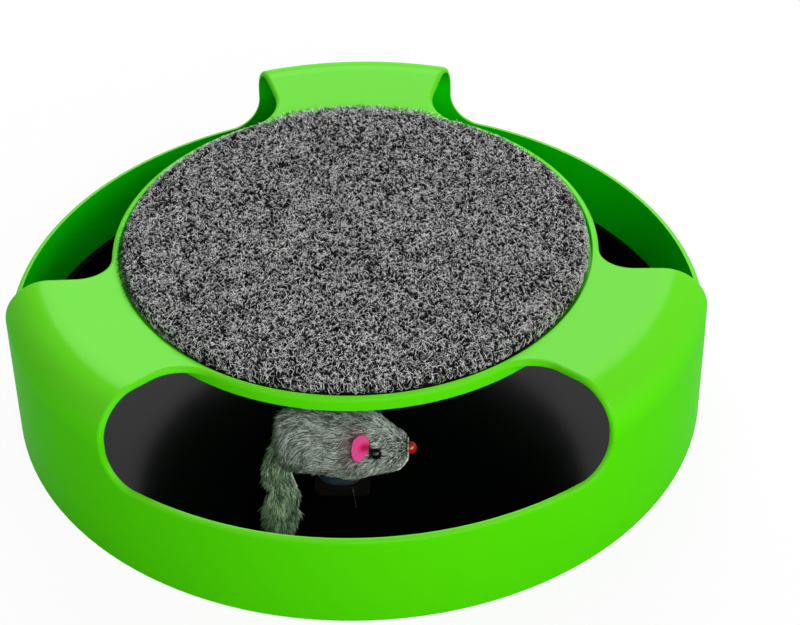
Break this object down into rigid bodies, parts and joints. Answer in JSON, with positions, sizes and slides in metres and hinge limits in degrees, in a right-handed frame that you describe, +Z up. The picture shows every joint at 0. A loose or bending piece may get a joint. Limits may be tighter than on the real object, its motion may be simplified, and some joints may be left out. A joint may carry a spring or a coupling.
{
  "type": "rotating mouse cat toy",
  "caption": "Round low housing with a carpet scratching disc on top and paw windows in its wall; inside, a fur mouse on a balanced arm spins round a central spindle.",
  "frame": {"origin": "on the floor, under the middle of the round housing", "axes": "+Z up along the spindle, -Y towards the front window where the mouse waits, +X to the right, the way the mouse's nose points"},
  "size_m": [0.25, 0.25, 0.067],
  "materials": {
    "green_plastic": "smooth moulded, semi-gloss",
    "carpet": "needle-punched looped pile, grey and black fibres",
    "adhesive": "thin dried glue",
    "black_plastic": "polished, high gloss",
    "zinc_steel": "zinc plated",
    "bright_steel": "ground and polished",
    "weight_steel": "blackened steel",
    "nylon": "natural nylon",
    "foot_rubber": "matte rubber",
    "arm_plastic": "fine satin",
    "hot_glue": "set hot-melt glue, translucent",
    "blue_plastic": "smooth moulded, translucent look",
    "fur": "short grey-green fur on a leather skin",
    "pink_felt": "pressed felt",
    "black_bead": "polished bead",
    "red_bead": "polished bead"
  },
  "bodies": {
    "housing": {"top_cover": "green_plastic", "scratch_carpet": "carpet", "carpet_adhesive": "adhesive", "base_tray": "black_plastic", "cover_screws": "zinc_steel", "spindle": "bright_steel", "thrust_washer": "nylon", "top_washer": "nylon", "spindle_clip": "bright_steel", "rubber_foot_1": "foot_rubber", "rubber_foot_2": "foot_rubber", "rubber_foot_3": "foot_rubber", "rubber_foot_4": "foot_rubber", "rubber_foot_5": "foot_rubber", "rubber_foot_6": "foot_rubber"},
    "rotor": {"rotor_arm": "arm_plastic", "hub_bush": "nylon", "counterweight": "weight_steel", "counterweight_screw": "zinc_steel", "roller_axle": "bright_steel", "core_glue": "hot_glue", "mouse_core": "blue_plastic", "mouse_body": "fur", "mouse_ear_left": "pink_felt", "mouse_ear_right": "pink_felt", "mouse_eye_left": "black_bead", "mouse_eye_right": "black_bead", "mouse_nose": "red_bead"},
    "roller": {"support_roller": "nylon"},
    "tail": {"mouse_tail": "fur"}
  },
  "joints": [
    {"name": "rotor_spin", "type": "hinge", "parent": "housing", "child": "rotor", "pos_m": [0, 0, 0], "axis": [0, 0, 1], "continuous": true},
    {"name": "roller_spin", "type": "hinge", "parent": "rotor", "child": "roller", "pos_m": [-0.00272, -0.05994, 0.0085], "axis": [0.0454, 0.999, 0], "continuous": true},
    {"name": "tail_sway", "type": "hinge", "parent": "rotor", "child": "tail", "pos_m": [-0.02706, -0.06684, 0.0227], "axis": [0, 0, 1], "range_deg": [-25, 25]}
  ],
  "couplings": [
    {"joint": "roller_spin", "follows": "rotor_spin", "ratio": 13.636}
  ]
}
